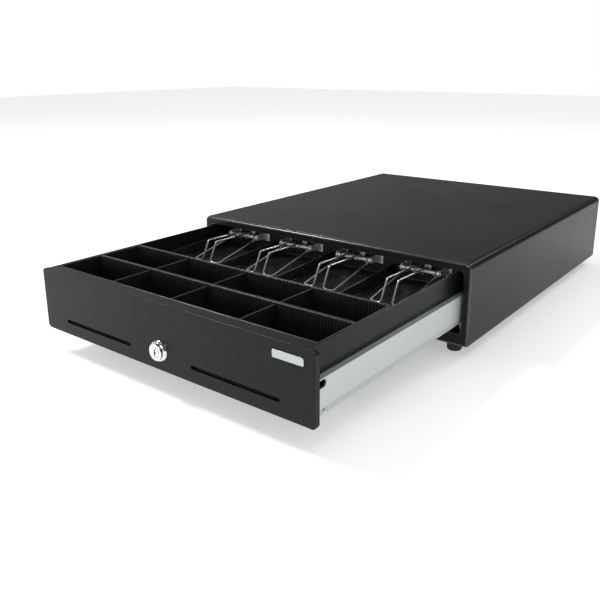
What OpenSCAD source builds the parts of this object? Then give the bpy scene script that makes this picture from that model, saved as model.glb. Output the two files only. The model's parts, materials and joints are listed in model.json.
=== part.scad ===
// Compact cash drawer: a flat steel housing with a sliding drawer, a coin and note tray,
// wire note clips, a cam lock and an electric latch. Millimetres, +Z up.
// The origin is on the surface it stands on, under the middle of the open drawer and housing.
// X runs across, -Y is the front where the drawer comes out.

/* [Housing] */
// Width of the housing
body_w = 350; // [344:1:420]
// Depth of the housing without the drawer
body_d = 405; // [404:1:430]
// Height of the housing without its feet
body_h = 84.5; // [84.5:0.5:88]
// Thickness of the housing sheet
sheet = 1.2; // [1:0.1:1.4]
// Radius of the long top edges
edge_r = 6.5; // [4:0.5:7]
// Radius of the long bottom edges
fold_r = 4; // [3:0.5:5]
// Height of the rubber feet
foot_h = 10; // [8:0.5:14]
// Radius of a foot where it meets the housing
foot_r = 8; // [7:0.5:9]

/* [Front frame] */
// Width of the frame on each side of the drawer
frame_side = 8.7; // [8.4:0.1:9]
// Height of the frame above the drawer
frame_top = 8.9; // [8:0.1:9]
// Height of the frame below the drawer
frame_bottom = 12.8; // [12:0.1:13]
// Depth of the folded frame
frame_d = 9; // [7:0.5:9]

/* [Drawer] */
// How far the drawer stands out at rest
drawer_out = 228; // [150:1:240]
// Length of the drawer body behind its front face
drawer_len = 345; // [340:1:350]
// Gap between the drawer front and the frame
front_gap = 1; // [0.8:0.1:1.2]
// Radius of the corners of the drawer front
front_r = 4; // [3:0.5:5]
// Thickness of the drawer front skin
front_skin = 2; // [1.5:0.1:2.5]
// Depth of the rolled top of the drawer front
front_roll = 12; // [10:0.5:12]
// Thickness of the drawer sheet
pan_sheet = 1; // [0.8:0.1:1]

/* [Media slots and badge] */
// Length of a slot for notes and cheques
slot_w = 94; // [80:1:100]
// Height of a slot
slot_h = 3.6; // [3:0.1:4]
// Distance of a slot's middle from the lock
slot_x = 85; // [80:1:90]
// Width of the blank badge
badge_w = 29; // [20:1:35]
// Height of the blank badge
badge_h = 6.4; // [5:0.1:8]

/* [Tray] */
// Wall thickness of the tray
tray_wall = 2; // [1.6:0.1:2.2]
// Length of the front coin row
front_row = 45.4; // [40:0.1:46]
// Length of the rear coin row
rear_row = 46; // [40:0.5:46]
// Thickness of the two cross ribs
rib = 3.5; // [3:0.1:4]
// Length of the note compartments
note_len = 139; // [130:1:140]
// Front radius of a coin scoop
scoop_r = 18; // [12:1:20]

/* [Note clips] */
// Wire radius of a note clip
wire_r = 1; // [0.8:0.1:1]
// Reach of a clip from its hinge to its front bar
clip_reach = 64; // [60:1:66]
// Half the width of a clip
clip_half = 18; // [16:0.5:18]
// Half the distance between the two lifting wires
lift_half = 6; // [5:0.5:7]

/* [Lock] */
// Radius of the lock's bezel
bezel_r = 9.8; // [9:0.1:10]
// How far the lock stands out of the drawer front
lock_proud = 5; // [4:0.5:6]
// Radius of the lock body
lock_r = 7; // [6.5:0.1:7]

/* [Hidden] */
$fn = 64;
fit = 0.05;
gap = 0.3;
over = 1;

// places, derived from the sizes above
mouth_y = drawer_out + lock_proud - (drawer_out + lock_proud + body_d) / 2;
half_w = body_w / 2;
wall_x = half_w - sheet;
open_x = half_w - frame_side;
open_top = body_h - frame_top;
front_x = open_x - front_gap;
front_z0 = frame_bottom + front_gap;
front_z1 = open_top - front_gap;

// feet, screws, rear panel and cable socket
foot_x = half_w - 20.5;
foot_ys = [15, body_d - 15];
screw_r = 1.75;
panel_screw_x = 120;
socket_x = -120;
socket_z = 40;
panel_y0 = body_d - 5;
panel_y1 = panel_y0 + sheet;

// the drawer front's slots, badge and screw bosses
slot_z = 27.1;
badge_x = 140;
badge_z = 63.7;
boss_x = 157;
boss_zs = [32, 40];

// the drawer's steel side channels
chan_out = front_x - 0.8;
chan_z0 = 22.8;
chan_z1 = 51.4;
fold_z = 28;
ledge_w = 6.7;
skin_out = chan_out - 4.5;
skin_t = 1.4;
skin_top = front_z1 + 0.2;
skin_gap = 1;

// the tray
tray_x = skin_out - skin_t - skin_gap;
tray_d0 = front_roll + 0.6;
tray_top = front_z1;
coin_z = 36;
note_z = 48;
row1 = tray_d0 + tray_wall;
row1_end = row1 + front_row;
row2 = row1_end + rib;
row2_end = row2 + rear_row;
note0 = row2_end + rib;
note1 = note0 + note_len;
note_rise = 7;
note_wall_z = 56;
bay_x = tray_x - tray_wall;
cell_w = (2 * bay_x - 3 * tray_wall) / 4;
cell_pitch = cell_w + tray_wall;
cell_x = [for (i = [-1.5:1:1.5]) i * cell_pitch];
wall_pos = [for (i = [-1:1]) i * cell_pitch];

// the note clips
hinge_d = note1 - 16.5;
hinge_z = 66.5;
back_z = 72.5;
rod_r = 1.7;
sleeve_r = 2.7;
coil_r = 3.3;
coil_turns = [-9, -6.8, -4.6, 2.2];
knee_d = hinge_d - clip_reach + 11;
knee_z = 70.5;
bar_z = note_z + wire_r + 0.4;
ear_x = clip_half + 3;

// rollers and rails
roller_r = 6.5;
roller_w = 5.6;
roller_z = 40;
roller_d = drawer_len - 8;
rail_in = chan_out + 0.9;
front_roller_r = 7.5;
front_roller_z = chan_z0 - gap - front_roller_r;
front_roller_y = 24;
pin_r = 2;

// the lock
lock_z = 31.5;
lock_len = 14;
plug_r = 4.6;

// the latch at the back of the housing
latch_y = 368;
pivot_z = 18;
hook_len = 18;
tail = 17;
keeper_z = 31;
sole_z0 = 41;
sole_h = 27;
sole_y1 = 394.5;
switch_y = 352;
lever_z = 11;
lever_tip_y = drawer_len + 1.2;

// ---------- frames and shared shapes ----------

// places a housing piece: y from the mouth backwards, z up from the underside
module in_housing() {
    translate([0, mouth_y, foot_h]) children();
}

// places a drawer piece: y from the drawer's front face backwards, z as for the housing
module in_drawer() {
    translate([0, mouth_y - drawer_out, foot_h]) children();
}

// draws a child for the right side (1) or mirrored for the left side (-1)
module side(s) {
    mirror([s < 0 ? 1 : 0, 0, 0]) children();
}

// a box from its low corner to its high corner
module block(lo, hi) {
    translate(lo) cube(hi - lo);
}

// a flat outline in X and Z, extruded from y0 to y1
module along_y(y0, y1) {
    translate([0, y1, 0]) rotate([90, 0, 0]) linear_extrude(y1 - y0) children();
}

// a flat outline in Y and Z, extruded from x0 to x1
module along_x(x0, x1) {
    translate([x0, 0, 0]) rotate([90, 0, 90]) linear_extrude(x1 - x0) children();
}

// a round bar along X, Y or Z from one point
module bar_x(x0, x1, y, z, r) {
    translate([x0, y, z]) rotate([0, 90, 0]) cylinder(h = x1 - x0, r = r);
}

module bar_y(y0, y1, x, z, r) {
    translate([x, y0, z]) rotate([-90, 0, 0]) cylinder(h = y1 - y0, r = r);
}

module bar_z(z0, z1, x, y, r) {
    translate([x, y, z0]) cylinder(h = z1 - z0, r = r);
}

// a straight wire with round ends between two points
module wire(a, b, r) {
    v = b - a;
    turn = atan2(v[1], v[0]);
    lean = acos(v[2] / norm(v));
    translate(a) rotate([0, lean, turn]) cylinder(h = norm(v), r = r, $fn = 24);
    translate(b) sphere(r = r + 0.08, $fn = 24);
}

// a rectangle standing on z = z0 with round corners: rt at the top, rb at the bottom
module outline(half, z0, z1, rt, rb) {
    mid = (z0 + z1) / 2;
    translate([-half, z0 + rb]) square([2 * half, mid - z0 - rb]);
    translate([-half, mid]) square([2 * half, z1 - rt - mid]);
    translate([-half + rb, z0]) square([2 * (half - rb), mid - z0]);
    translate([-half + rt, mid]) square([2 * (half - rt), z1 - mid]);
    for (s = [-1, 1]) {
        translate([s * (half - rt), z1 - rt]) circle(rt);
        translate([s * (half - rb), z0 + rb]) circle(rb);
    }
}

// a trough in Y and Z: a scoop radius at the front, a small radius at the back
module trough(d0, d1, z0, z1, rf, rb) {
    translate([d0 + rf, z0]) square([d1 - rb - d0 - rf, z1 - z0]);
    translate([d0, z0 + rf]) square([d1 - rb - d0, z1 - z0 - rf]);
    translate([d0 + rf, z0 + rb]) square([d1 - d0 - rf, z1 - z0 - rb]);
    translate([d0 + rf, z0 + rf]) circle(rf);
    translate([d1 - rb, z0 + rb]) circle(rb);
}

// a coil spring along Z from z = 0, as one closed sweep
module coil_spring(r, w, h, turns, sides = 8, per_turn = 14) {
    n = turns * per_turn;
    rings = [for (i = [0:n]) let (a = 360 * i / per_turn, z = w + (h - 2 * w) * i / n)
        [for (k = [0:sides - 1]) let (b = 360 * k / sides)
            [(r + w * cos(b)) * cos(a), (r + w * cos(b)) * sin(a), z + w * sin(b)]]];
    points = [for (ring = rings) for (p = ring) p];
    skin = [for (i = [0:n - 1]) for (k = [0:sides - 1])
        [i * sides + k, (i + 1) * sides + k,
         (i + 1) * sides + (k + 1) % sides, i * sides + (k + 1) % sides]];
    ends = [[for (k = [0:sides - 1]) k], [for (k = [sides - 1:-1:0]) n * sides + k]];
    polyhedron(points, concat(skin, ends), convexity = 10);
}

// ---------- housing ----------

module housing_cover() {
    flange_x = half_w - 24;
    color("#26282a") in_housing() difference() {
        along_y(3, body_d) outline(half_w, 0, body_h, edge_r, fold_r);
        along_y(3 - over, body_d + over)
            outline(wall_x, sheet, body_h - sheet, edge_r - sheet, fold_r - sheet);
        block([-flange_x, 3 - over, -over], [flange_x, body_d + over, sheet + over]);
        for (x = [-1, 1] * foot_x, y = foot_ys)
            bar_z(-over, sheet + over, x, y, screw_r + 0.1);
    }
}

module frame_hole(grow) {
    outline(open_x + grow, frame_bottom - grow, open_top + grow, front_r + 1 + grow, front_r + 1 + grow);
}

module front_frame() {
    lip = 0.6;
    inner = sheet + 0.15;
    color("#2b2d2f") in_housing() difference() {
        union() {
            along_y(0, 3 - 0.1)
                outline(half_w - lip, lip, body_h - lip, edge_r - lip, fold_r - lip);
            along_y(1, frame_d)
                outline(half_w - inner, inner, body_h - inner, edge_r - inner, fold_r - inner);
        }
        along_y(-over, frame_d + over) frame_hole(0);
        difference() {
            along_y(sheet, frame_d + over)
                outline(half_w - inner - sheet, inner + sheet, body_h - inner - sheet,
                        edge_r - inner - sheet, 1);
            along_y(0, frame_d + 2 * over) frame_hole(sheet);
        }
    }
}

module base_pan() {
    x1 = wall_x - (fold_r - sheet) - 0.1;
    color("#3a3d3f") in_housing() difference() {
        union() {
            block([-x1, frame_d + 0.3, sheet], [x1, body_d - 5, 2 * sheet]);
            block([-x1, body_d - 5 - sheet, sheet], [x1, body_d - 5, 12]);
        }
        for (x = [-1, 1] * foot_x, y = foot_ys)
            bar_z(0, 3 * sheet, x, y, screw_r + 0.1);
        for (x = [-1, 1] * panel_screw_x)
            bar_y(body_d - 10, body_d, x, 8, screw_r + 0.1);
    }
}

module rear_panel() {
    inner = sheet + 0.15;
    color("#26282a") in_housing() difference() {
        along_y(panel_y0, panel_y1)
            outline(half_w - inner, inner, body_h - inner, edge_r - inner, fold_r - inner);
        block([socket_x - 8, panel_y0 - over, socket_z - 8], [socket_x + 8, panel_y1 + over, socket_z + 8]);
        for (x = [-1, 1] * panel_screw_x)
            bar_y(panel_y0 - over, panel_y1 + over, x, 8, screw_r + 0.1);
        for (x = [-1, 1] * panel_screw_x)
            bar_y(panel_y0 - over, panel_y1 + over, x, body_h - 10, screw_r + 0.1);
    }
}

// the screws that hold the rear panel, with a cross recess in each head
module housing_screws() {
    color("silver") in_housing()
        for (x = [-1, 1] * panel_screw_x, z = [8, body_h - 10])
            difference() {
                union() {
                    bar_y(panel_y0 - 5, panel_y1, x, z, screw_r);
                    bar_y(panel_y1, panel_y1 + 1.8, x, z, 3.4);
                }
                block([x - 2, panel_y1 + 1, z - 0.4], [x + 2, panel_y1 + 3, z + 0.4]);
                block([x - 0.4, panel_y1 + 1, z - 2], [x + 0.4, panel_y1 + 3, z + 2]);
            }
}

// the socket for the cable that opens the drawer
module cable_socket() {
    color("#151617") in_housing() difference() {
        union() {
            block([socket_x - 7.8, panel_y0 - 12, socket_z - 7.8],
                  [socket_x + 7.8, panel_y1 + 0.6, socket_z + 7.8]);
            block([socket_x - 10, panel_y1, socket_z - 10], [socket_x + 10, panel_y1 + 1.2, socket_z + 10]);
        }
        block([socket_x - 5, panel_y0 - 9, socket_z - 4], [socket_x + 5, body_d + over, socket_z + 3]);
        block([socket_x - 3, panel_y0 - 9, socket_z - 6], [socket_x + 3, body_d + over, socket_z - 3]);
    }
}

module foot(x, y) {
    color("#1c1d1e") in_housing() translate([x, y, -foot_h]) difference() {
        union() {
            translate([0, 0, 1.5]) cylinder(h = foot_h - 1.5, r1 = foot_r - 0.7, r2 = foot_r);
            cylinder(h = 1.5, r1 = foot_r - 1.7, r2 = foot_r - 0.7);
        }
        translate([0, 0, -over]) cylinder(h = foot_h + 2 * over, r = screw_r + 0.15);
        translate([0, 0, -over]) cylinder(h = 4 + over, r = 4);
    }
}

module foot_screws() {
    color("silver") in_housing() for (x = [-1, 1] * foot_x, y = foot_ys)
        difference() {
            union() {
                bar_z(4 - foot_h - 2, 4 - foot_h, x, y, 3.4);
                bar_z(4 - foot_h, 2 * sheet + 1.5, x, y, screw_r);
            }
            block([x - 2, y - 0.4, -foot_h + 1], [x + 2, y + 0.4, -foot_h + 2.8]);
            block([x - 0.4, y - 2, -foot_h + 1], [x + 0.4, y + 2, -foot_h + 2.8]);
        }
}

// a fixed C rail on the housing wall, in which the drawer's rear roller runs
module rail(s) {
    half = roller_r + gap;
    color("#b9bec0") in_housing() side(s) difference() {
        block([rail_in, frame_d + 3, roller_z - half - sheet], [wall_x, body_d - 8, roller_z + half + sheet]);
        block([rail_in - over, frame_d, roller_z - half], [wall_x - sheet, body_d, roller_z + half]);
    }
}

// rubber blocks in the rails that stop the drawer at its full travel
module drawer_stops() {
    half = roller_r + gap;
    y1 = roller_d - drawer_out - 22 - roller_r - gap;
    color("#1c1d1e") in_housing() for (s = [-1, 1]) side(s)
        block([rail_in + 1, y1 - 10, roller_z - half], [wall_x - sheet, y1, roller_z + half]);
}

// a folded bracket on the base that carries a front roller
module roller_bracket(s) {
    x1 = chan_out + 1.2;
    y0 = front_roller_y - 9;
    y1 = front_roller_y + 9;
    color("#b9bec0") in_housing() side(s) {
        block([x1, y0, 2 * sheet], [x1 + 1, y1, chan_z0 - 1]);
        block([x1, y0, 2 * sheet], [x1 + 6, y1, 2 * sheet + 1]);
        bar_x(x1 - 9, x1 + 0.5, front_roller_y, front_roller_z, pin_r);
        bar_x(x1 - 10, x1 - 9, front_roller_y, front_roller_z, pin_r + 1.2);
    }
}

module wheel(x0, x1, y, z, r) {
    difference() {
        bar_x(x0, x1, y, z, r);
        bar_x(x0 - over, x1 + over, y, z, pin_r + fit);
        for (x = [x0 - over, x1 - 0.6])
            difference() {
                bar_x(x, x + 0.6 + over, y, z, r - 1.4);
                bar_x(x - over, x + 3 * over, y, z, pin_r + 1.4);
            }
    }
}

module front_roller(s) {
    x1 = chan_out + 1.2;
    color("#e8e6df") in_housing() side(s)
        wheel(x1 - 8.5, x1 - 1, front_roller_y, front_roller_z, front_roller_r);
}

// ---------- latch ----------

// the steel bracket on the base that carries the hook's pivot and the solenoid
module latch_bracket() {
    color("#b9bec0") in_housing() difference() {
        union() {
            block([-18, latch_y - 8, 2 * sheet], [18, sole_y1 + 1.5, 2 * sheet + 1.5]);
            for (x = [-8, 6.5])
                block([x, latch_y - 7, 2 * sheet], [x + 1.5, latch_y + 7, pivot_z + 6]);
            block([-18, sole_y1, 2 * sheet], [18, sole_y1 + 1.5, sole_z0 + sole_h]);
        }
        bar_x(-10, 10, latch_y, pivot_z, pin_r);
    }
}

module latch_pin() {
    color("silver") in_housing() {
        bar_x(-9.5, 8, latch_y, pivot_z, pin_r);
        bar_x(-10.5, -9.5, latch_y, pivot_z, pin_r + 1.5);
        bar_x(8, 9, latch_y, pivot_z, pin_r + 1.5);
    }
}

// the hook: a nose in front that holds the keeper and a slotted tail behind
module latch_hook() {
    y0 = latch_y - hook_len;
    color("#9aa0a3") in_housing() difference() {
        union() {
            bar_x(-6, 6, latch_y, pivot_z, 5);
            block([-2.5, y0 - 2, pivot_z - 4], [2.5, latch_y, pivot_z + 4]);
            along_x(-2.5, 2.5) polygon([
                [y0 - 3, pivot_z - 4], [y0 + 3, pivot_z - 4], [y0 + 3, keeper_z - 3], [y0, keeper_z - 0.8],
                [y0 - 3, keeper_z - 5]]);
            block([-5.5, latch_y, pivot_z - 1], [5.5, latch_y + tail + 4, pivot_z + 1]);
        }
        bar_x(-10, 10, latch_y, pivot_z, pin_r + fit);
        block([-2.8, latch_y + tail - 3.2, pivot_z - 3], [2.8, latch_y + tail + over * 5, pivot_z + 3]);
    }
}

module latch_spring() {
    z0 = pivot_z + 1.2;
    color("silver") in_housing() translate([0, latch_y + tail, z0])
        coil_spring(3.3, 0.45, sole_z0 - 0.2 - z0, 7);
}

module solenoid_frame() {
    x1 = 11;
    y0 = latch_y + tail - 9;
    y1 = sole_y1;
    color("#b9bec0") in_housing() difference() {
        union() {
            block([-x1, y0, sole_z0], [x1, y1, sole_z0 + 1.5]);
            block([-x1, y0, sole_z0 + sole_h - 1.5], [x1, y1, sole_z0 + sole_h]);
            block([-x1, y1 - 1.2, sole_z0], [x1, y1, sole_z0 + sole_h]);
        }
        bar_z(sole_z0 - over, sole_z0 + 3, 0, latch_y + tail, 3.1);
    }
}

module solenoid_coil() {
    y = latch_y + tail;
    color("#8a3b20") in_housing() difference() {
        union() {
            bar_z(sole_z0 + 1.5, sole_z0 + 3, 0, y, 8);
            bar_z(sole_z0 + 3, sole_z0 + sole_h - 3, 0, y, 7.2);
            bar_z(sole_z0 + sole_h - 3, sole_z0 + sole_h - 1.5, 0, y, 8);
        }
        bar_z(sole_z0, sole_z0 + sole_h - 4, 0, y, 2.4);
    }
}

// the plunger, with the rod that passes through the hook's tail and the head that lifts it
module solenoid_plunger() {
    y = latch_y + tail;
    color("silver") in_housing() {
        bar_z(pivot_z - 4, sole_z0 + 14, 0, y, 2.1);
        bar_z(pivot_z - 4, pivot_z - 2.2, 0, y, 4.2);
    }
}

// the spring that kicks the drawer open, drawn at its free length
module kick_spring() {
    len = 62;
    color("silver") in_housing() translate([70, panel_y0, 40]) rotate([90, 0, 0])
        coil_spring(7, 0.8, len, 8);
}

// the switch that tells whether the drawer is shut, with two ears for its lever
module microswitch() {
    y0 = switch_y + 2;
    color("#1c1d1e") in_housing() {
        block([-52, y0, 2 * sheet], [-32, y0 + 10, 22]);
        for (x = [-46, -37])
            block([x, switch_y - 1.5, lever_z - 2], [x + 1, y0, lever_z + 2]);
        bar_x(-45.5, -36.5, switch_y, lever_z, 0.6);
    }
}

// the lever of the switch, hinged at its foot, which the shut drawer comes up to
module switch_lever() {
    color("silver") in_housing() difference() {
        union() {
            bar_x(-44, -38, switch_y, lever_z, 1.4);
            block([-44, switch_y - 1.2, lever_z], [-38, switch_y - 0.7, 21]);
            block([-44, lever_tip_y, 20.5], [-38, switch_y - 0.7, 21]);
            block([-44, lever_tip_y, 20.5], [-38, lever_tip_y + 0.5, 27]);
        }
        bar_x(-45, -37, switch_y, lever_z, 0.6 + fit);
    }
}

// ---------- drawer ----------

module slot_shape(x) {
    r = slot_h / 2;
    translate([x - slot_w / 2 + r, slot_z - r]) square([slot_w - 2 * r, slot_h]);
    for (s = [-1, 1]) translate([x + s * (slot_w / 2 - r), slot_z]) circle(r);
}

// the drawer front: a skin with folded sides, a rolled top, two slots and the lock's hole
module drawer_front() {
    roll_x = skin_out - skin_t - 0.4;
    color("#2a2c2e") in_drawer() difference() {
        union() {
            along_y(0, front_skin)
                outline(front_x, front_z0, front_z1, front_r, front_r);
            difference() {
                along_y(0, 4) outline(front_x, front_z0, front_z1, front_r, front_r);
                along_y(front_skin, 4 + over)
                    outline(front_x - 2, front_z0 + 2, front_z1 - 2, front_r - 2, front_r - 2);
            }
            block([-roll_x, 0.5, front_z1 - 2], [roll_x, front_roll, front_z1]);
            block([-roll_x, front_roll - 1.5, front_z1 - 6], [roll_x, front_roll, front_z1]);
            for (s = [-1, 1], z = boss_zs)
                bar_y(front_skin - 0.5, 4, s * boss_x, z, 3);
        }
        along_y(-over, 5) slot_shape(-slot_x);
        along_y(-over, 5) slot_shape(slot_x);
        bar_y(-over, 5, 0, lock_z, lock_r + 0.1);
        for (s = [-1, 1], z = boss_zs)
            bar_y(1.2, 5, s * boss_x, z, 1.2);
    }
}

module front_screws() {
    color("silver") in_drawer() for (s = [-1, 1], z = boss_zs) {
        bar_y(1.3, 4 + pan_sheet, s * boss_x, z, 1.2);
        bar_y(4 + pan_sheet, 6.6, s * boss_x, z, 2.6);
    }
}

module badge_plate() {
    r = 1.2;
    color("#c9cdd0") in_drawer() translate([badge_x, 0, badge_z])
        along_y(-0.7, 0) outline(badge_w / 2, -badge_h / 2, badge_h / 2, r, r);
}

// the lock: a chromed barrel with a bezel, a plug with a keyway, a nut and a cam
module lock_barrel() {
    color("#c8ccd0") in_drawer() difference() {
        union() {
            translate([0, -2.2, lock_z]) rotate([-90, 0, 0])
                cylinder(h = 2.2, r1 = bezel_r - 1.2, r2 = bezel_r);
            bar_y(-lock_proud + 0.4, 0, 0, lock_z, 7.6);
            bar_y(0, lock_len, 0, lock_z, lock_r);
        }
        bar_y(-lock_proud - over, lock_len + over, 0, lock_z, plug_r + fit);
    }
}

module lock_nut() {
    color("#b9bec0") in_drawer() difference() {
        translate([0, front_skin, lock_z]) rotate([-90, 0, 0]) cylinder(h = 3, r = 10, $fn = 6);
        bar_y(0, 6, 0, lock_z, lock_r);
    }
}

module lock_plug() {
    color("#d4d7da") in_drawer() difference() {
        bar_y(-lock_proud, lock_len + 2, 0, lock_z, plug_r);
        block([-0.6, -lock_proud - over, lock_z - 3.4], [0.6, 6, lock_z + 3.2]);
        block([-1.1, -lock_proud - over, lock_z - 1.2], [1.1, 6, lock_z + 0.6]);
    }
}

module lock_cam() {
    y0 = lock_len + 0.3;
    color("#b9bec0") in_drawer() difference() {
        union() {
            bar_y(y0, y0 + 1.5, 0, lock_z, 6);
            block([0, y0, lock_z - 3], [9.2, y0 + 1.5, lock_z + 3]);
        }
        bar_y(y0 - over, y0 + 3, 0, lock_z, plug_r);
    }
}

// the drawer's floor and back, folded from one sheet, with a notch for the lock
module drawer_pan() {
    x1 = chan_out - 2;
    color("#aeb4b6") in_drawer() difference() {
        union() {
            block([-x1, 5.2, chan_z0 + pan_sheet], [x1, drawer_len - 0.5, chan_z0 + 2 * pan_sheet]);
            block([-x1, drawer_len - pan_sheet, chan_z0 + pan_sheet], [x1, drawer_len, 66]);
            block([-x1, drawer_len - 8, 65], [x1, drawer_len, 66]);
        }
        block([-14, 0, chan_z0], [14, 20, chan_z0 + 4]);
    }
}

// a folded steel side channel with a ledge on top and a hooking notch in front
module side_channel(s) {
    t = pan_sheet;
    y1 = drawer_len - pan_sheet - 0.2;
    color("#c4cacb") in_drawer() side(s) difference() {
        union() {
            block([chan_out - 14, 4, chan_z0], [chan_out - 0.6, y1, chan_z0 + t]);
            block([chan_out - 0.6 - t, 4, chan_z0], [chan_out - 0.6, y1, fold_z + 0.6]);
            block([chan_out - 0.6 - t, 4, fold_z], [chan_out, y1, fold_z + 0.6]);
            block([chan_out - t, 4, fold_z], [chan_out, y1, chan_z1]);
            block([chan_out - ledge_w, 4, chan_z1 - t], [chan_out, y1, chan_z1]);
            block([chan_out - 13, 4, 29], [chan_out - t, 4 + t, 43]);
        }
        along_x(chan_out - 4, chan_out + 2) {
            translate([4 - over, chan_z1 - 7.4]) square([5.6 + over, 6.4]);
            translate([9.6, chan_z1 - 4.2]) circle(3.2);
        }
        for (z = boss_zs)
            bar_y(3, 6, boss_x, z, 1.3);
        bar_x(chan_out - 3, chan_out + 2, roller_d, roller_z, pin_r);
    }
}

// the black upper side: a rim band above a slightly set back wall that curves in at its foot
module side_skin(s) {
    x1 = skin_out;
    t = skin_t;
    z0 = chan_z1;
    zr = skin_top - 7.7;
    color("#202224") in_drawer() side(s)
        along_y(4.2, drawer_len - pan_sheet - 0.2) polygon([
            [x1, skin_top], [x1, zr], [x1 - 0.4, zr], [x1 - 0.4, z0 + 9], [x1 - 0.5, z0 + 4.5],
            [x1 - 0.7, z0 + 1.2], [x1 - 0.8, z0], [x1 - 0.8 - t, z0], [x1 - 0.7 - t, z0 + 2],
            [x1 - 0.5 - t, z0 + 5], [x1 - 0.4 - t, z0 + 9], [x1 - t, zr], [x1 - t, skin_top]]);
}

// a nylon roller on a riveted pin at the back of the drawer
module rear_roller(s) {
    color("#e8e6df") in_drawer() side(s)
        wheel(rail_in + 0.6, rail_in + 0.6 + roller_w, roller_d, roller_z, roller_r);
}

module roller_pin(s) {
    side(s) {
        bar_x(chan_out - 2.5, rail_in + roller_w + 1.2, roller_d, roller_z, pin_r);
        bar_x(chan_out - 3.5, chan_out - pan_sheet, roller_d, roller_z, pin_r + 1.6);
    }
}

// the keeper on the drawer's back, which the latch hook holds, with the roller pins
module keeper() {
    y0 = drawer_len;
    color("#9aa0a3") in_drawer() {
        difference() {
            union() {
                block([-12, y0, keeper_z], [12, y0 + 16, keeper_z + 2]);
                block([-12, y0, keeper_z], [12, y0 + 1.5, keeper_z + 14]);
            }
            block([-4, y0 + 2.5, keeper_z - over], [4, y0 + 12, keeper_z + 3]);
        }
        roller_pin(1);
        roller_pin(-1);
    }
}

// four posts that hold the tray above the floor, so that notes and cheques slide in under it
module tray_supports() {
    z0 = chan_z0 + 2 * pan_sheet;
    color("#aeb4b6") in_drawer() for (s = [-1, 1]) side(s) {
        block([138, 40, z0], [148, 52, coin_z - tray_wall]);
        block([138, note1 - 20, z0], [148, note1 - 8, note_z - tray_wall]);
    }
}

// ---------- tray ----------

// the line of the note walls' tops, which rise towards the back
module note_wall_shape() {
    polygon([[note0 - 1, note_z - 1], [note1 + 1, note_z - 1], [note1 + 1, note_wall_z + note_rise],
             [note0 - 1, note_wall_z]]);
}

module tray() {
    w = tray_wall;
    color("#17181a") in_drawer() {
        difference() {
            union() {
                along_x(-tray_x, tray_x)
                    trough(row1 - w, row2, coin_z - w, tray_top, scoop_r + w, 3);
                along_x(-tray_x, tray_x)
                    trough(row1 + scoop_r + 8, note0, coin_z - w, tray_top, 3, 3);
                along_x(-tray_x, tray_x) polygon([
                    [note0 - rib, note_z - w], [note1 + w, note_z - w], [note1 + w, back_z], [note1, back_z],
                    [note1, note_wall_z + note_rise], [note0, note_wall_z], [note0 - rib, note_wall_z]]);
            }
            along_x(-bay_x, bay_x) trough(row1, row1_end, coin_z, tray_top + over, scoop_r, 3);
            along_x(-bay_x, bay_x) trough(row2, row2_end, coin_z, tray_top + over, scoop_r, 3);
            along_x(-bay_x, bay_x) trough(note0, note1, note_z, tray_top + over, 3, 3);
        }
        for (x = wall_pos)
            along_x(x - w / 2, x + w / 2) intersection() {
                note_wall_shape();
                translate([note0 - 0.5, note_z - 0.5]) square([note_len + 1, 40]);
            }
    }
}

// a removable divider in a coin row, shaped to the scoop
module coin_divider(x, d0, d1) {
    t = 1.6;
    c = 0.15;
    color("#1b1c1e") in_drawer()
        along_x(x - t / 2, x + t / 2)
            trough(d0 + c, d1 - c, coin_z + c, tray_top - 1.2, scoop_r, 3);
}

// ---------- note clips ----------

// a folded bracket that hooks over the tray's back and carries the hinge rod
module clip_bracket(x) {
    t = 1;
    y0 = note1 - t - 0.1;
    y1 = note1 + tray_wall + 0.1;
    color("#c4cacb") in_drawer() translate([x, 0, 0]) {
        block([-27, y0, back_z], [27, y1 + t, back_z + t]);
        block([-27, y1, back_z - 8], [27, y1 + t, back_z + t]);
        for (tab = [-22.5, 22.5])
            block([tab - 3.4, y0, 60], [tab + 3.4, y0 + t, back_z + t]);
        block([-3.4, y0, 64], [3.4, y0 + t, back_z + t]);
        for (ear = [-1, 1] * ear_x)
            along_x(ear - t / 2, ear + t / 2) {
                polygon([[hinge_d, hinge_z - 3.2], [y0 + t, hinge_z - 5], [y0 + t, hinge_z + 4],
                         [hinge_d, hinge_z + 3.2]]);
                translate([hinge_d, hinge_z]) circle(3.2);
            }
        bar_x(-ear_x - 1.5, ear_x + 1.5, hinge_d, hinge_z, rod_r);
    }
}

// a sprung wire clip: two outer rails, a front bar, two raised lifting wires and a coil
module note_clip(x) {
    y0 = hinge_d;
    yb = hinge_d - clip_reach;
    rail_z = hinge_z - coil_r + 0.4;
    color("#d8dbde") in_drawer() translate([x, 0, 0]) {
        difference() {
            union() {
                bar_x(-ear_x + 1, ear_x - 1, y0, hinge_z, sleeve_r);
                for (turn_x = coil_turns)
                    bar_x(turn_x, turn_x + 1.6, y0, hinge_z, coil_r + wire_r);
                for (s = [-1, 1]) {
                    wire([s * clip_half, y0, rail_z], [s * clip_half, yb, bar_z], wire_r);
                    wire([s * clip_half, yb, bar_z], [s * lift_half, yb, bar_z], wire_r);
                    wire([s * lift_half, yb, bar_z], [s * lift_half, knee_d, knee_z], wire_r);
                    wire([s * lift_half, knee_d, knee_z], [s * lift_half, y0, hinge_z + 2.6], wire_r);
                }
            }
            bar_x(-ear_x, ear_x, y0, hinge_z, rod_r + fit);
        }
    }
}

// ---------- the drawing ----------

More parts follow.
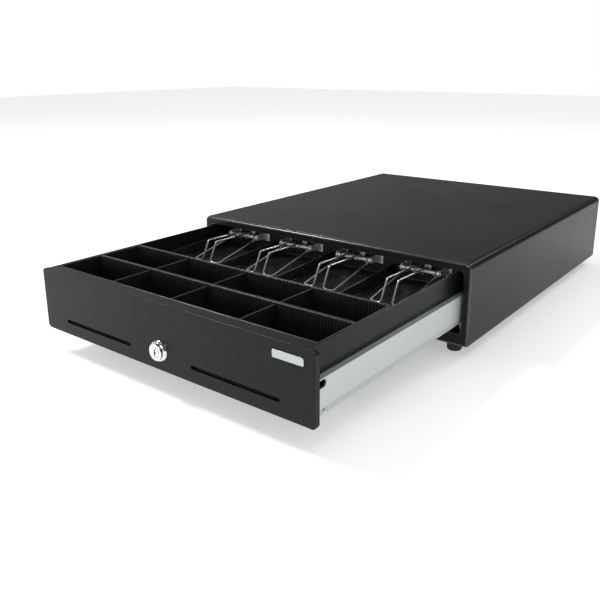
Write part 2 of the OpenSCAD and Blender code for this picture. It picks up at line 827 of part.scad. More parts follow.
housing_cover();
front_frame();
base_pan();
rear_panel();
housing_screws();
cable_socket();
foot(-foot_x, foot_ys[0]);  // foot_front_left
foot(foot_x, foot_ys[0]);  // foot_front_right
foot(-foot_x, foot_ys[1]);  // foot_rear_left
foot(foot_x, foot_ys[1]);  // foot_rear_right
foot_screws();
rail(-1);  // rail_left
rail(1);  // rail_right
drawer_stops();
roller_bracket(-1);  // roller_bracket_left
roller_bracket(1);  // roller_bracket_right
front_roller(-1);  // front_roller_left
front_roller(1);  // front_roller_right
latch_bracket();
latch_pin();
latch_hook();
latch_spring();
solenoid_frame();
solenoid_coil();
solenoid_plunger();
kick_spring();
microswitch();
switch_lever();
drawer_front();
front_screws();
badge_plate();
lock_barrel();
lock_nut();
lock_plug();
lock_cam();
drawer_pan();
side_channel(-1);  // side_channel_left
side_channel(1);  // side_channel_right
side_skin(-1);  // side_skin_left
side_skin(1);  // side_skin_right
rear_roller(-1);  // rear_roller_left
rear_roller(1);  // rear_roller_right
keeper();
tray_supports();
tray();
coin_divider(wall_pos[0], row1, row1_end);  // coin_divider_1
coin_divider(wall_pos[1], row1, row1_end);  // coin_divider_2
coin_divider(wall_pos[2], row1, row1_end);  // coin_divider_3
coin_divider(wall_pos[0], row2, row2_end);  // coin_divider_4
coin_divider(wall_pos[1], row2, row2_end);  // coin_divider_5
coin_divider(wall_pos[2], row2, row2_end);  // coin_divider_6
clip_bracket(cell_x[0]);  // clip_bracket_1
clip_bracket(cell_x[1]);  // clip_bracket_2
clip_bracket(cell_x[2]);  // clip_bracket_3
clip_bracket(cell_x[3]);  // clip_bracket_4
note_clip(cell_x[0]);  // note_clip_1
note_clip(cell_x[1]);  // note_clip_2
note_clip(cell_x[2]);  // note_clip_3
note_clip(cell_x[3]);  // note_clip_4
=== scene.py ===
"""The looks of a compact cash drawer: its open drawer, tray, wire note clips, lock and housing.

Everything is in metres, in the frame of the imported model: +X right, -Y front, +Z up.
"""

import json
import math

import bmesh
import bpy
from mathutils import Matrix, Vector


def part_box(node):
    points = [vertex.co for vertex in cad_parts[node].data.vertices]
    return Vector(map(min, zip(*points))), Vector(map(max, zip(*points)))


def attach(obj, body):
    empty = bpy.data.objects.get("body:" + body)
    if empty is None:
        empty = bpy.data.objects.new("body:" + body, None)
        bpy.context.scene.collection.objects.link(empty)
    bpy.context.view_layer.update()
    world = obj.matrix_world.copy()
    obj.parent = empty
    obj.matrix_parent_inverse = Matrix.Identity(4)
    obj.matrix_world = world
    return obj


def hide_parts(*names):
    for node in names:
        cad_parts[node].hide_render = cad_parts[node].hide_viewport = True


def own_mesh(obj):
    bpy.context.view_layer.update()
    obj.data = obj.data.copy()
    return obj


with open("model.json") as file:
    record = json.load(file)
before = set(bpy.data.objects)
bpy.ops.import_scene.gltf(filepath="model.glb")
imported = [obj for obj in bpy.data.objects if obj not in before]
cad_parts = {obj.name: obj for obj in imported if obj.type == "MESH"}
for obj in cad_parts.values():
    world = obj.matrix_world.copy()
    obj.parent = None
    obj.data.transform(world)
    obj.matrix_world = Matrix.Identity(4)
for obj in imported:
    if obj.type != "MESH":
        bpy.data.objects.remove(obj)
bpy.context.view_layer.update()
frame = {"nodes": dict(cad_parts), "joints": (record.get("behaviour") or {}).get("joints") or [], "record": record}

NODES = frame["nodes"]
JOINTS = {joint["name"]: joint for joint in frame["joints"]}
BODY_OF = {node: body
           for body, nodes in frame["record"]["behaviour"]["bodies"].items()
           for node in nodes}
SLOT_OF = {part["node"]: part["material_slot"] for part in frame["record"]["subparts"]}
MM = 0.001


# ---------- shader maths ----------

class Sock:
    """A value or vector socket of a shader tree, with Python's own operators."""

    def __init__(self, shader, socket):
        self.shader = shader
        self.socket = socket

    def _math(self, operation, first, second):
        return self.shader.add("ShaderNodeMath", {"operation": operation}, [first, second])

    def __add__(self, other):
        return self._math("ADD", self, other)

    def __radd__(self, other):
        return self._math("ADD", other, self)

    def __sub__(self, other):
        return self._math("SUBTRACT", self, other)

    def __rsub__(self, other):
        return self._math("SUBTRACT", other, self)

    def __mul__(self, other):
        return self._math("MULTIPLY", self, other)

    def __rmul__(self, other):
        return self._math("MULTIPLY", other, self)


class Shader:
    """One procedural finish, built around a Principled shader."""

    def __init__(self, name, color, roughness, metallic=0.0, coat=0.0, specular=0.5):
        self.material = bpy.data.materials.new(name)
        self.material.use_nodes = True
        self.tree = self.material.node_tree
        self.body = self.tree.nodes["Principled BSDF"]
        self.material.diffuse_color = (*color, 1)
        self.set("Base Color", (*color, 1))
        self.set("Roughness", roughness)
        self.set("Metallic", metallic)
        self.set("Coat Weight", coat)
        self.set("Coat Roughness", 0.1)
        self.set("Specular IOR Level", specular)
        self.place = self.add("ShaderNodeTexCoord", {}, [], "Object")

    def set(self, name, value):
        """Sets one of the Principled shader's inputs to a value or links it."""
        if isinstance(value, Sock):
            self.tree.links.new(value.socket, self.body.inputs[name])
        else:
            self.body.inputs[name].default_value = value

    def add(self, kind, settings, inputs, output=0):
        """Adds a node: its settings first, then its inputs by index or name."""
        node = self.tree.nodes.new(kind)
        for name, value in settings.items():
            setattr(node, name, value)
        pairs = inputs.items() if isinstance(inputs, dict) else enumerate(inputs)
        for key, value in pairs:
            if isinstance(value, Sock):
                self.tree.links.new(value.socket, node.inputs[key])
            elif value is not None:
                node.inputs[key].default_value = value
        return Sock(self, node.outputs[output])

    def noise(self, scale, detail=3.0, rough=0.55, place=None):
        """Cloudy noise, in turns per metre."""
        inputs = {"Vector": place or self.place, "Scale": scale, "Detail": detail, "Roughness": rough}
        return self.add("ShaderNodeTexNoise", {}, inputs, "Fac")

    def cells(self, scale):
        """Flat cells, in cells per metre."""
        return self.add("ShaderNodeTexVoronoi", {}, {"Vector": self.place, "Scale": scale}, "Color")

    def stretched(self, x, y, z):
        """The place on the piece, scaled along each axis."""
        return self.add("ShaderNodeMapping", {}, {"Vector": self.place, "Scale": (x, y, z)})

    def ramp(self, value, low, high):
        """0 below low, 1 above high."""
        return self.add("ShaderNodeMapRange", {"clamp": True},
                        {"Value": value, "From Min": low, "From Max": high})

    def axis(self, letter):
        """One coordinate of the place on the piece."""
        return self.add("ShaderNodeSeparateXYZ", {}, [self.place], letter)

    def mix(self, amount, first, second):
        """A colour between two colours."""
        node = self.tree.nodes.new("ShaderNodeMix")
        node.data_type = "RGBA"
        amount_socket, first_socket, second_socket = node.inputs[0], node.inputs[6], node.inputs[7]
        pairs = ((amount_socket, amount), (first_socket, first), (second_socket, second))
        for socket, value in pairs:
            if isinstance(value, Sock):
                self.tree.links.new(value.socket, socket)
            elif isinstance(value, float):
                socket.default_value = value
            else:
                socket.default_value = (*value, 1)
        return Sock(self, node.outputs[2])

    def bump(self, height, strength, distance):
        """Raises the surface by a height pattern, up to a distance in metres."""
        inputs = {"Strength": strength, "Distance": distance, "Height": height}
        self.set("Normal", self.add("ShaderNodeBump", {}, inputs, "Normal"))


# ---------- finishes ----------

def powder_coat(name, dark, light, roughness, specular=0.14):
    """Satin powder coat: fine orange peel, faint clouding and a little dust."""
    s = Shader(name, dark, roughness, specular=specular)
    peel = s.noise(900, 2)
    grain = s.noise(5200, 1)
    clouds = s.ramp(s.noise(9, 3), 0.35, 0.75)
    speck = s.ramp(s.noise(2600, 1), 0.68, 0.76)
    s.set("Base Color", s.mix(speck * 0.25, s.mix(clouds * 0.5, dark, light), (0.2, 0.205, 0.21)))
    s.set("Roughness", roughness + clouds * 0.05 + peel * 0.05)
    s.bump(peel * 0.7 + grain * 0.3, 0.2, 0.00008)
    return s.material


def galvanised(name, base, bright, fold=None):
    """Galvanised sheet: soft spangle, faint rolling lines, dull patches and, where a fold height is given, a
    painted shaded line under the fold and painted shade on the sheet below it.
    """
    s = Shader(name, base, 0.42, metallic=0.4, specular=0.5)
    spangle = s.add("ShaderNodeSeparateColor", {}, [s.cells(170)], "Red")
    lines = s.noise(1, 3, place=s.stretched(40, 12, 1500))
    dull = s.ramp(s.noise(14, 4), 0.4, 0.7)
    color = s.mix(spangle * 0.1 + dull * 0.25 + lines * 0.2, base, bright)
    # a darker line just under the fold and a darker strip below it: painted shade of the fold and of the sheet's
    # lower face
    if fold:
        height = s.axis("Z")
        above = s.ramp(height, fold - 0.2 * MM, fold + 0.2 * MM)
        painted_fold_shade = s.ramp(height, fold - 0.7 * MM, fold - 0.2 * MM) * (1.0 - above)
        color = s.mix(painted_fold_shade * 0.45 + (1.0 - above) * 0.22, color, (0.2, 0.225, 0.22))
    s.set("Base Color", color)
    s.set("Roughness", 0.38 + dull * 0.08 + lines * 0.1 + spangle * 0.03)
    s.bump(lines, 0.06, 0.00006)
    return s.material


def moulded_plastic(name, base, bright, roughness, grain=2600, depth=0.00006):
    """Moulded black plastic: a fine spark-eroded grain, flow clouding and rubbed patches."""
    s = Shader(name, base, roughness, specular=0.5)
    skin = s.noise(grain, 2)
    flow = s.ramp(s.noise(18, 3), 0.35, 0.7)
    rubbed = s.ramp(s.noise(45, 5, 0.7), 0.55, 0.75)
    s.set("Base Color", s.mix(flow * 0.45 + rubbed * 0.25, base, bright))
    s.set("Roughness", roughness + rubbed * 0.1 - flow * 0.05 + skin * 0.06)
    s.bump(skin, 0.3, depth)
    return s.material


def plated(name, base, dull, roughness, scratched=1.0):
    """Plated metal: bright, with faint handling haze and fine scratches."""
    s = Shader(name, base, roughness, metallic=1.0)
    haze = s.ramp(s.noise(90, 4, 0.65), 0.45, 0.75)
    scratch = s.ramp(s.noise(1, 2, place=s.stretched(300, 2600, 900)), 0.62, 0.7) * scratched
    s.set("Base Color", s.mix(haze * 0.35 + scratch * 0.15, base, dull))
    s.set("Roughness", roughness + haze * 0.12 + scratch * 0.12)
    s.bump(scratch, 0.05, 0.00004)
    return s.material


def brushed_badge(name):
    """Satin aluminium, brushed along its length."""
    s = Shader(name, (0.5, 0.52, 0.52), 0.3, metallic=0.85)
    brush = s.noise(1, 3, 0.7, place=s.stretched(25, 400, 4200))
    s.set("Base Color", s.mix(brush, (0.4, 0.425, 0.42), (0.56, 0.585, 0.58)))
    s.set("Roughness", 0.24 + brush * 0.2)
    s.bump(brush, 0.12, 0.00005)
    return s.material


def foot_rubber(name):
    """Black rubber with a dusty bloom towards the floor."""
    s = Shader(name, (0.028, 0.028, 0.03), 0.78, specular=0.3)
    dust = s.ramp(s.noise(160, 4), 0.4, 0.8) * s.ramp(s.axis("Z") * -1, -0.008, 0.0)
    s.set("Base Color", s.mix(dust * 0.5, (0.026, 0.026, 0.028), (0.13, 0.125, 0.12)))
    s.set("Roughness", 0.68 + dust * 0.2)
    s.bump(s.noise(1500, 2), 0.3, 0.00008)
    return s.material


def nylon(name):
    """Off-white nylon, slightly greyed where it runs."""
    s = Shader(name, (0.8, 0.79, 0.75), 0.42, specular=0.5)
    worn = s.ramp(s.noise(220, 4), 0.45, 0.75)
    s.set("Base Color", s.mix(worn * 0.6, (0.82, 0.81, 0.77), (0.55, 0.54, 0.5)))
    s.set("Roughness", 0.36 + worn * 0.2)
    s.bump(s.noise(1800, 2), 0.15, 0.00005)
    return s.material


def winding(name):
    """Lacquered copper wire, wound in fine turns up the coil."""
    s = Shader(name, (0.4, 0.15, 0.06), 0.34, metallic=0.75, coat=0.5)
    turns = s.add("ShaderNodeTexWave", {"bands_direction": "Z"},
                  {"Vector": s.place, "Scale": 520.0, "Distortion": 0.4}, "Fac")
    s.set("Base Color", s.mix(turns, (0.22, 0.07, 0.03), (0.5, 0.2, 0.08)))
    s.set("Roughness", 0.3 + turns * 0.15)
    s.bump(turns, 0.5, 0.0002)
    return s.material


# lighter colours for the rounded edges than for the flat faces: a painted highlight along the edges
EDGE_DARK = (0.02, 0.021, 0.023)
EDGE_LIGHT = (0.03, 0.031, 0.034)
FRONT_EDGE_DARK = (0.016, 0.017, 0.018)
FRONT_EDGE_LIGHT = (0.026, 0.027, 0.029)
TRAY_EDGE_DARK = (0.014, 0.0145, 0.016)
TRAY_EDGE_LIGHT = (0.024, 0.025, 0.028)
CHANNEL_FOLD = 38.0 * MM

# the finish of each slot's flat faces
FINISHES = {
    "black_coat": powder_coat("satin_black_coat", (0.006, 0.0065, 0.0075), (0.009, 0.0095, 0.0105), 0.27),
    "front_coat": powder_coat("front_black_coat", (0.009, 0.0096, 0.011), (0.012, 0.0128, 0.0145), 0.24),
    "galvanised": galvanised("galvanised_sheet", (0.56, 0.6, 0.6), (0.7, 0.745, 0.745)),
    "black_plastic": moulded_plastic("tray_black_plastic", (0.012, 0.0125, 0.014),
                                     (0.02, 0.021, 0.024), 0.27),
    "chrome": plated("polished_chrome", (0.8, 0.81, 0.82), (0.55, 0.56, 0.57), 0.09),
    "wire": plated("nickel_wire", (0.78, 0.75, 0.69), (0.55, 0.52, 0.46), 0.27, 0.1),
    "steel": plated("zinc_plate", (0.66, 0.67, 0.69), (0.48, 0.49, 0.5), 0.28),
    "rubber": foot_rubber("foot_rubber"),
    "nylon": nylon("roller_nylon"),
    "badge": brushed_badge("badge_aluminium"),
    "winding": winding("copper_winding"),
    "socket": moulded_plastic("socket_black", (0.012, 0.012, 0.013), (0.03, 0.03, 0.032), 0.45),
}

# the glossier, lighter finish of the rounded edges, where a slot has one: a painted highlight along the edges
EDGE_HIGHLIGHTS = {
    "black_coat": powder_coat("black_coat_edge_painted_highlight", EDGE_DARK, EDGE_LIGHT, 0.16, 0.9),
    "front_coat": powder_coat("front_coat_edge_painted_highlight", FRONT_EDGE_DARK, FRONT_EDGE_LIGHT, 0.18, 0.8),
    "black_plastic": moulded_plastic("tray_plastic_edge_painted_highlight", TRAY_EDGE_DARK, TRAY_EDGE_LIGHT, 0.22),
}

# single pieces that differ from the rest of their slot
# the galvanised pan painted near black: painted shade, as it is seen only through the front's slots
PAN_PAINTED_SHADE = galvanised("galvanised_pan_painted_shade", (0.035, 0.037, 0.038), (0.055, 0.058, 0.058))
# the clip brackets painted lighter than the rest of the galvanised sheet: painted light on the tabs in shade under
# the lip
BRACKET_PAINTED_LIGHT = galvanised("galvanised_bracket_painted_light", (0.78, 0.82, 0.8), (0.88, 0.9, 0.88))
# the slide channels with a painted fold: a darker line and a darker strip below it, painted shade
CHANNEL = galvanised("galvanised_channel_fold_shade", (0.56, 0.605, 0.605), (0.7, 0.75, 0.75), CHANNEL_FOLD)


# ---------- mesh helpers ----------

# a mesh's two finishes, by number: the flat faces' finish, and the lighter edge finish of the rounded faces, a
# painted highlight
FACE = 0
ROUND = 1


def smooth(mesh, angle=32.0):
    """Smooth shading, with creases kept where faces turn sharply."""
    for face in mesh.polygons:
        face.use_smooth = True
    mesh.set_sharp_from_angle(angle=math.radians(angle))


def new_piece(name, mesh, body, slot, *stands_for):
    """Puts a finished mesh on its body with its finishes, in place of the CAD nodes that it stands for."""
    piece = bpy.data.objects.new(name, mesh)
    bpy.context.scene.collection.objects.link(piece)
    finish_numbers = [face.material_index for face in mesh.polygons]
    mesh.materials.clear()
    mesh.materials.append(FINISHES[slot])
    # faces numbered ROUND get the slot's lighter edge finish, a painted highlight
    if ROUND in finish_numbers and slot in EDGE_HIGHLIGHTS:
        mesh.materials.append(EDGE_HIGHLIGHTS[slot])
        mesh.polygons.foreach_set("material_index", finish_numbers)
    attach(piece, body)
    for node in stands_for:
        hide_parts(node)
    return piece


def baked(name, mesh, modifiers):
    """A plain mesh, made by running modifiers (each a type and its settings) over a mesh."""
    source = bpy.data.objects.new(name + "_work", mesh)
    bpy.context.scene.collection.objects.link(source)
    for kind, settings in modifiers:
        step = source.modifiers.new(kind, kind)
        for key, value in settings.items():
            setattr(step, key, value)
    graph = bpy.context.evaluated_depsgraph_get()
    graph.update()
    result = bpy.data.meshes.new_from_object(source.evaluated_get(graph))
    bpy.data.objects.remove(source)
    result.name = name
    return result


def merged_copy(node):
    """A copy of a CAD node's mesh with its triangles joined and its flat faces made whole."""
    work = bmesh.new()
    work.from_mesh(NODES[node].data)
    bmesh.ops.remove_doubles(work, verts=work.verts, dist=2e-6)
    bmesh.ops.dissolve_limit(work, angle_limit=math.radians(0.6), verts=work.verts, edges=work.edges)
    mesh = bpy.data.meshes.new(node)
    work.to_mesh(mesh)
    work.free()
    return mesh


def cut_into_threes(mesh):
    """Cuts the faces with more than four corners into triangles."""
    work = bmesh.new()
    work.from_mesh(mesh)
    many = [face for face in work.faces if len(face.verts) > 4]
    bmesh.ops.triangulate(work, faces=many)
    work.to_mesh(mesh)
    work.free()


def rounded(name, mesh, width, segments=2, angle=34.0):
    """A copy of a mesh with its sharp edges rounded, and with even shading over its flat faces."""
    smooth(mesh)
    mesh.materials.clear()
    for _ in (FACE, ROUND):
        mesh.materials.append(None)
    # the bevel's faces are numbered ROUND, for the lighter edge finish: a painted highlight
    mesh = baked(name, mesh, [("BEVEL", {
        "width": width * MM, "segments": segments, "limit_method": "ANGLE", "material": ROUND,
        "angle_limit": math.radians(angle), "use_clamp_overlap": True})])
    cut_into_threes(mesh)
    return baked(name, mesh, [("WEIGHTED_NORMAL", {"weight": 80, "keep_sharp": True})])


def soften(node, width):
    """Stands a copy with rounded edges in for a CAD node; the rounded faces take the lighter edge finish, a
    painted highlight.
    """
    name = node + "_rounded"
    mesh = rounded(name, merged_copy(node), width)
    return new_piece(name, mesh, BODY_OF[node], SLOT_OF[node], node)


def corner_path(half, low, high, top_r, foot_r, steps=8):
    """Points up the right side of a round-cornered rectangle, over its top and down its left side."""
    points = []
    corners = (
        (half - foot_r, low + foot_r, foot_r, -90),
        (half - top_r, high - top_r, top_r, 0),
        (top_r - half, high - top_r, top_r, 90),
        (foot_r - half, low + foot_r, foot_r, 180))
    for x, z, r, first in corners:
        for step in range(steps + 1):
            angle = math.radians(first + 90 * step / steps)
            points.append((x + r * math.cos(angle), z + r * math.sin(angle)))
    return points


def skin_over(name, loops, closed_loops, closed_stack):
    """A mesh of quads between neighbouring loops of the same length."""
    work = bmesh.new()
    rings = [[work.verts.new(point) for point in loop] for loop in loops]
    stack = list(zip(rings, rings[1:])) + ([(rings[-1], rings[0])] if closed_stack else [])
    around = len(rings[0]) if closed_loops else len(rings[0]) - 1
    for first, second in stack:
        for k in range(around):
            after = (k + 1) % len(first)
            work.faces.new((first[k], first[after], second[after], second[k]))
    bmesh.ops.recalc_face_normals(work, faces=work.faces)
    mesh = bpy.data.meshes.new(name)
    work.to_mesh(mesh)
    work.free()
    return mesh


def rounded_route(corners, radius, steps=7):
    """A route through corner points, with each inner corner turned into an arc."""
    route = [corners[0]]
    for before, corner, after in zip(corners, corners[1:], corners[2:]):
        to_before = (before - corner).normalized()
        to_after = (after - corner).normalized()
        half = to_before.angle(to_after) / 2
        back = min(radius / math.tan(half), (before - corner).length * 0.45, (after - corner).length * 0.45)
        bend = back * math.tan(half)
        middle = corner + (to_before + to_after).normalized() * (bend / math.sin(half))
        start = corner + to_before * back - middle
        end = corner + to_after * back - middle
        turn = start.angle(end)
        for step in range(steps + 1):
            share = step / steps
            arm = (start * math.sin((1 - share) * turn) + end * math.sin(share * turn)) / math.sin(turn)
            route.append(middle + arm)
    route.append(corners[-1])
    return route


def helix(centre, axis_to, radius, turns, start_angle, per_turn=20):
    """Points of a helix round the X axis, from centre to axis_to along X."""
    count = max(4, round(abs(turns) * per_turn))
    points = []
    for step in range(count + 1):
        share = step / count
        angle = start_angle + math.tau * turns * share
        points.append(Vector((centre.x + (axis_to - centre.x) * share,
                              centre.y + radius * math.cos(angle),
                              centre.z + radius * math.sin(angle))))
    return points


def wire_into(work, route, radius, sides=10):
    """Sweeps a round wire with domed ends along a route, into a bmesh."""
    ahead = [(after - before).normalized() for before, after in zip(route, route[1:])]
    ahead.append(ahead[-1])
    side = ahead[0].orthogonal().normalized()
    dome_angles = (math.radians(35), math.radians(65))
    rings = []
    for index, point in enumerate(route):
        tangent = ahead[index] if index == 0 else (ahead[index - 1] + ahead[index]).normalized()
        side = (side - tangent * side.dot(tangent)).normalized()
        other = tangent.cross(side)
        if index == 0:
            rings += [(point - tangent * radius * math.sin(a), side, other, math.cos(a))
                      for a in reversed(dome_angles)]
        rings.append((point, side, other, 1.0))
        if index == len(route) - 1:
            rings += [(point + tangent * radius * math.sin(a), side, other, math.cos(a))
                      for a in dome_angles]
    turns = [math.tau * k / sides for k in range(sides)]
    loops = []
    for point, across, other, scale in rings:
        reach = radius * scale
        loops.append([work.verts.new(point + (across * math.cos(turn) + other * math.sin(turn)) * reach)
                      for turn in turns])
    for first, second in zip(loops, loops[1:]):
        for k in range(sides):
            work.faces.new((first[k], first[(k + 1) % sides], second[(k + 1) % sides], second[k]))
    work.faces.new(loops[0][::-1])
    work.faces.new(loops[-1])


def wires(name, routes, radius, sides=10):
    """One mesh of several wires, with its faces turned outwards."""
    work = bmesh.new()
    for route in routes:
        wire_into(work, route, radius, sides)
    bmesh.ops.recalc_face_normals(work, faces=work.faces)
    mesh = bpy.data.meshes.new(name)
    work.to_mesh(mesh)
    work.free()
    smooth(mesh, 40)
    return mesh


# ---------- geometry nodes ----------

def repeat_tree(name, shape, slot):
    """A tree that repeats a small shape along a straight line, with its start, step and count as inputs."""
    tree = bpy.data.node_groups.new(name, "GeometryNodeTree")
    tree.interface.new_socket("Geometry", in_out="INPUT", socket_type="NodeSocketGeometry")
    tree.interface.new_socket("Start", in_out="INPUT", socket_type="NodeSocketVector")
    tree.interface.new_socket("Step", in_out="INPUT", socket_type="NodeSocketVector")
    tree.interface.new_socket("Count", in_out="INPUT", socket_type="NodeSocketInt")
    tree.interface.new_socket("Geometry", in_out="OUTPUT", socket_type="NodeSocketGeometry")
    given = tree.nodes.new("NodeGroupInput")
    line = tree.nodes.new("GeometryNodeMeshLine")
    line.mode = "OFFSET"
    thing = tree.nodes.new("GeometryNodeObjectInfo")
    thing.inputs["Object"].default_value = shape
    stamp = tree.nodes.new("GeometryNodeInstanceOnPoints")
    real = tree.nodes.new("GeometryNodeRealizeInstances")
    paint = tree.nodes.new("GeometryNodeSetMaterial")
    paint.inputs["Material"].default_value = FINISHES[slot]
    result = tree.nodes.new("NodeGroupOutput")
    join = tree.links.new
    join(given.outputs["Start"], line.inputs["Start Location"])
    join(given.outputs["Step"], line.inputs["Offset"])
    join(given.outputs["Count"], line.inputs["Count"])
    join(line.outputs["Mesh"], stamp.inputs["Points"])
    join(thing.outputs["Geometry"], stamp.inputs["Instance"])
    join(stamp.outputs["Instances"], real.inputs["Geometry"])
    join(real.outputs["Geometry"], paint.inputs["Geometry"])
    join(paint.outputs["Geometry"], result.inputs[0])
    return tree


def repeat(tree, start, step, count):
    """The mesh that a repeating tree makes for one line."""
    holder = bpy.data.objects.new("line_work", bpy.data.meshes.new("line_work"))
    bpy.context.scene.collection.objects.link(holder)
    line = holder.modifiers.new("repeat", "NODES")
    line.node_group = tree
    sockets = {item.name: item.identifier for item in tree.interface.items_tree if item.in_out == "INPUT"}
    for label, value in (("Start", start), ("Step", step), ("Count", count)):
        line[sockets[label]] = value
    graph = bpy.context.evaluated_depsgraph_get()
    graph.update()
    mesh = bpy.data.meshes.new_from_object(holder.evaluated_get(graph))
    bpy.data.objects.remove(holder)
    return mesh


def joined(name, meshes):
    """Several meshes made into one."""
    work = bmesh.new()
    for mesh in meshes:
        work.from_mesh(mesh)
    bmesh.ops.recalc_face_normals(work, faces=work.faces)
    result = bpy.data.meshes.new(name)
    work.to_mesh(result)
    work.free()
    return result


def lathe(name, profile, sides=24):
    """A closed mesh turned round Z from (radius, height) pairs."""
    work = bmesh.new()
    turns = [math.tau * k / sides for k in range(sides)]
    loops = [[work.verts.new((radius * math.cos(turn), radius * math.sin(turn), height)) for turn in turns]
             for radius, height in profile]
    for first, second in zip(loops, loops[1:]):
        for k in range(sides):
            work.faces.new((first[k], first[(k + 1) % sides], second[(k + 1) % sides], second[k]))
    work.faces.new(loops[0][::-1])
    work.faces.new(loops[-1])
    bmesh.ops.recalc_face_normals(work, faces=work.faces)
    mesh = bpy.data.meshes.new(name)
    work.to_mesh(mesh)
    work.free()
    smooth(mesh, 30)
    return mesh


# ---------- pieces ----------

WIRE = 1.1 * MM            # radius of a note clip's wire
SHEET = 1.2 * MM           # thickness of the housing's sheet
TOP_R = 6.5 * MM           # rounding of the cover's long top edges
FOOT_R = 4.0 * MM          # rounding of its bottom folds
SLOT_X = 85 * MM           # distance of a slot's middle from the lock


def housing_cover():
    """The wrapped cover: one folded sheet with rounded long edges and two bottom flanges."""
    low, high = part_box("housing_cover")
    flange = high.x - 24 * MM
    loops = []
    for y, inset in ((low.y, 0), (high.y, 0), (high.y, SHEET), (low.y, SHEET)):
        path = corner_path(high.x - inset, low.z + inset, high.z - inset, TOP_R - inset, FOOT_R - inset)
        path = [(flange, low.z + inset)] + path + [(-flange, low.z + inset)]
        loops.append([(x, y, z) for x, z in path])
    mesh = skin_over("cover", loops, False, True)
    work = bmesh.new()
    work.from_mesh(mesh)
    bmesh.ops.holes_fill(work, edges=[edge for edge in work.edges if edge.is_boundary])
    bmesh.ops.recalc_face_normals(work, faces=work.faces)
    work.to_mesh(mesh)
    work.free()
    mesh = rounded("housing_cover_made", mesh, 0.4, 3)
    return new_piece("housing_cover_made", mesh, "housing", "black_coat", "housing_cover")


def front_frame():
    """The folded frame round the mouth, with a broad round outer edge and a finer inner one."""
    low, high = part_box("front_frame")
    mouth_low, mouth_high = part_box("drawer_front")
    gap = 1.0 * MM
    mouth_r = 5.0 * MM
    lip = 0.6 * MM
    plug = 0.75 * MM
    least_r = 0.5 * MM

    def outer(inset):
        return corner_path(high.x - inset, low.z + inset, high.z - inset,
                           max(TOP_R - lip - inset, least_r), max(FOOT_R - lip - inset, least_r))

    def inner(outset):
        reach = gap + outset
        return corner_path(mouth_high.x + reach, mouth_low.z - reach, mouth_high.z + reach,
                           mouth_r + outset, mouth_r + outset)

    broad = 2.2 * MM
    fine = 0.9 * MM
    back = high.y - low.y - 0.05 * MM
    step = 2.9 * MM
    thin = 0.12 * MM
    broad_steps = 6
    fine_steps = 4
    broad_angles = [math.radians(90 * k / broad_steps) for k in range(broad_steps + 1)]
    fine_angles = [math.radians(90 * k / fine_steps) for k in range(fine_steps + 1)]
    profile = [(outer(0), step)]
    profile += [(outer(broad * (1 - math.cos(a))), broad * (1 - math.sin(a))) for a in broad_angles]
    profile += [(inner(fine * (1 - math.sin(a))), fine * (1 - math.cos(a))) for a in fine_angles]
    profile += [(inner(0), back - thin), (inner(thin), back), (inner(SHEET - thin), back),
                (inner(SHEET), back - thin), (inner(SHEET), SHEET), (outer(plug + SHEET), SHEET),
                (outer(plug + SHEET), back - thin), (outer(plug + SHEET - thin), back),
                (outer(plug + thin), back), (outer(plug), back - thin), (outer(plug), step)]
    loops = [[(x, low.y + depth, z) for x, z in path] for path, depth in profile]
    mesh = skin_over("front_frame_made", loops, True, True)
    smooth(mesh, 50)
    around = len(loops[0])
    fine_start = broad_steps + 2
    rounded_bands = {*range(1, broad_steps + 1), *range(fine_start, fine_start + fine_steps)}
    # the rounded bands are numbered ROUND, for the lighter edge finish: a painted highlight
    for face in mesh.polygons:
        face.material_index = ROUND if face.index // around in rounded_bands else FACE
    mesh = baked("front_frame_made", mesh, [("WEIGHTED_NORMAL", {"weight": 80, "keep_sharp": True})])
    return new_piece("front_frame_made", mesh, "housing", "front_coat", "front_frame")


def note_clip(index):
    """A sprung clip: rails with eyes, a front bar, two knees and a torsion coil, bent from wire."""
    node = f"note_clip_{index}"
    hinge = Vector(JOINTS[f"clip_{index}_lift"]["pos_m"])
    low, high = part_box(node)
    middle = (low.x + high.x) / 2
    rail = 18 * MM
    lift = 6 * MM
    eye_r = 2.9 * MM
    coil_r = 3.15 * MM
    bend_r = 3.2 * MM
    close = 2.2 * MM
    bar_y = low.y + WIRE
    bar_z = low.z + WIRE
    knee_y = bar_y + 11 * MM
    knee_z = hinge.z + 4 * MM
    quarter = math.radians(90)
    ring_start = Vector((middle + 2.4 * MM, hinge.y, hinge.z))
    spring_start = Vector((middle - 1.6 * MM, hinge.y, hinge.z))
    ring = helix(ring_start, middle + lift, coil_r, 1.5, -quarter)
    spring = helix(spring_start, middle - lift - close, coil_r, 3.0, quarter)
    routes = [spring]
    for way in (-1, 1):
        lift_x = middle + way * lift
        rail_x = middle + way * rail
        corners = [
            Vector((lift_x, hinge.y - 0.5 * MM, hinge.z + coil_r)),
            Vector((lift_x, knee_y, knee_z)),
            Vector((lift_x, bar_y, bar_z)),
            Vector((rail_x, bar_y, bar_z)),
            Vector((rail_x, hinge.y, hinge.z - eye_r))]
        eye = helix(Vector((rail_x, hinge.y, hinge.z)), middle + way * (rail - close), eye_r, 1.0, -quarter)
        route = rounded_route(corners, bend_r) + eye[1:]
        routes.append(ring[:-1] + route if way > 0 else route)
    mesh = wires(node + "_wire", routes, WIRE)
    return new_piece(node + "_wire", mesh, BODY_OF[node], SLOT_OF[node], node)


